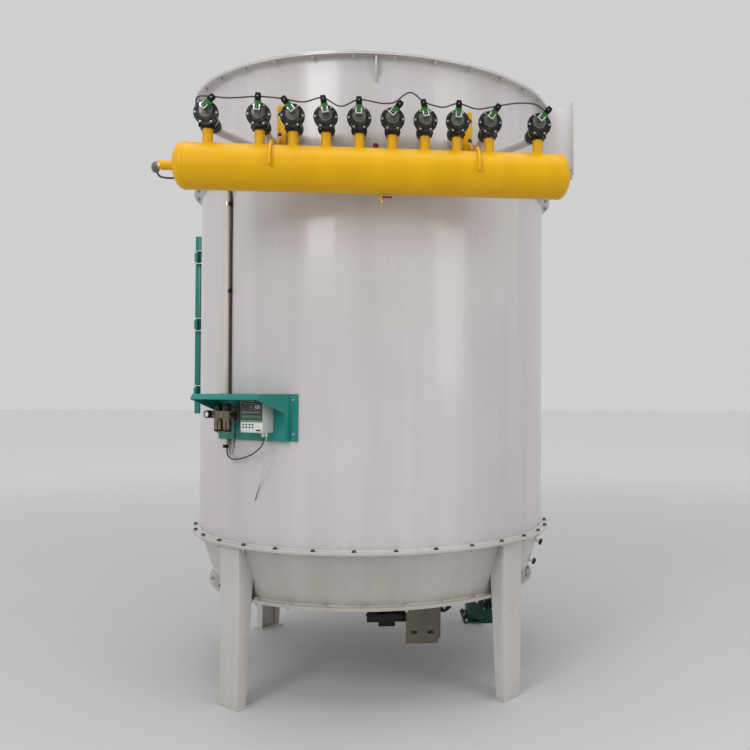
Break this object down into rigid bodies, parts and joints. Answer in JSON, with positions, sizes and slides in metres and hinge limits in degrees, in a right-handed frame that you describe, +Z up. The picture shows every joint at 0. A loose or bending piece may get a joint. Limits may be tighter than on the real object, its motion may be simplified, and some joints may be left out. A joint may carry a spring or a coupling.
{
  "type": "baghouse dust collector",
  "caption": "Round flat-bottomed pulse-jet bag filter on legs, with a yellow compressed-air header and diaphragm valves, a hinged access door, duct flanges and a rotary airlock.",
  "frame": {"origin": "middle of the footprint on the ground, under the feet", "axes": "+Z up, -Y towards the front with the pulse header, +X towards the clean-air outlet"},
  "size_m": [2.301, 2.6638, 3.438],
  "materials": {
    "enamel": "warm grey gloss enamel on sheet steel",
    "header_yellow": "yellow gloss enamel",
    "teal": "blue-green satin enamel",
    "cast_valve": "dark grey fine cast surface",
    "black_rubber": "matt black rubber",
    "grey_plastic": "light grey moulded plastic",
    "conduit_beige": "beige rigid plastic tube",
    "motor_black": "black enamel on castings",
    "airlock_green": "dark green enamel on castings",
    "bag_felt": "off-white needle felt",
    "brass": "plain brass fittings"
  },
  "bodies": {
    "collector": {"plenum_front": "enamel", "plenum_right_back": "enamel", "plenum_left_back": "enamel", "blow_tubes": "enamel", "roof_plate": "enamel", "tube_sheet_ring": "enamel", "filter_bags": "bag_felt", "casing_front": "enamel", "casing_right": "enamel", "casing_back": "enamel", "casing_over_door": "enamel", "casing_under_door": "enamel", "door_frame": "enamel", "hopper_front": "enamel", "hopper_right": "enamel", "hopper_left": "enamel", "floor_plate": "enamel", "leg_front_left": "enamel", "leg_front_right": "enamel", "leg_rear_right": "enamel", "leg_rear_left": "enamel", "outlet_duct": "enamel", "inlet_duct": "enamel", "header_tank": "header_yellow", "header_bracket_left": "header_yellow", "header_bracket_right": "header_yellow", "header_elbow": "motor_black", "valve_1": "cast_valve", "valve_2": "cast_valve", "valve_3": "cast_valve", "valve_4": "cast_valve", "valve_5": "cast_valve", "valve_6": "cast_valve", "valve_7": "cast_valve", "valve_8": "cast_valve", "valve_9": "cast_valve", "valve_10": "cast_valve", "safety_valve": "brass", "drain_valve": "brass", "conduit": "conduit_beige", "instrument_shelf": "teal", "filter_regulator": "grey_plastic", "controller_box": "grey_plastic", "drive_bracket": "enamel", "gearmotor": "motor_black", "rotary_airlock": "airlock_green", "hopper_hatch": "enamel", "valve_cable": "black_rubber", "air_hose": "black_rubber", "control_cable": "black_rubber", "supply_lead": "black_rubber"},
    "door": {"access_door": "teal"}
  },
  "joints": [
    {"name": "door_hinge", "type": "hinge", "parent": "collector", "child": "door", "pos_m": [-1.1383, 0.1255, 2.085], "axis": [0, 0, 1], "range_deg": [0, 120]}
  ]
}
